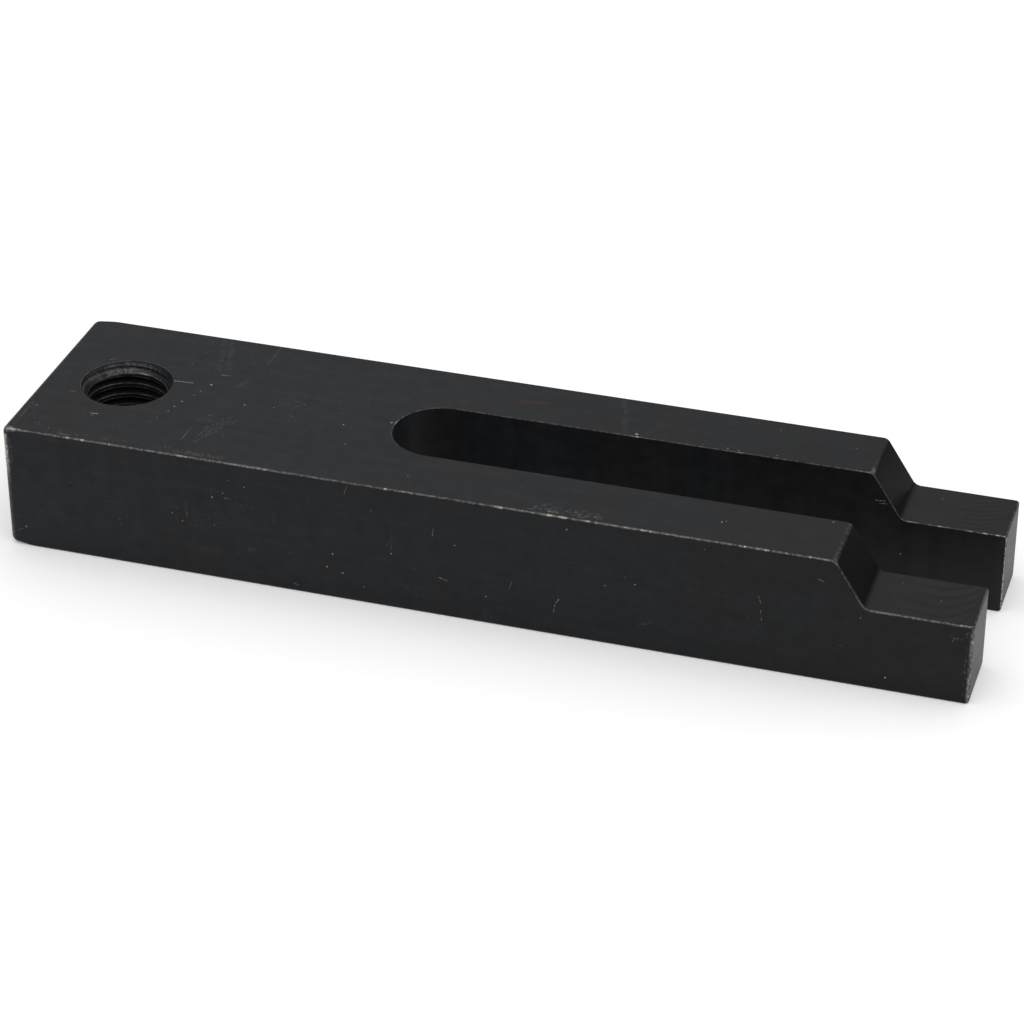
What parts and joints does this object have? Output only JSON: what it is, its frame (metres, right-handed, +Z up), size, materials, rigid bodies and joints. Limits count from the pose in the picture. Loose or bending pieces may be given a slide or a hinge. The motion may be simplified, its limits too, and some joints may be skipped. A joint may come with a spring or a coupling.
{
  "type": "u-shaped strap clamp",
  "caption": "Flat steel clamping bar with an open stud slot between its tines, a stepped nose and a tapped hole in the heel.",
  "frame": {"origin": "centre of the underside, half way along the bar", "axes": "+X along the bar from the heel to the nose, +Z up out of the top face"},
  "size_m": [0.2032, 0.0496, 0.028],
  "materials": {
    "black_oxide_steel": "satin"
  },
  "bodies": {
    "root": {"strap_clamp": "black_oxide_steel"}
  },
  "joints": []
}
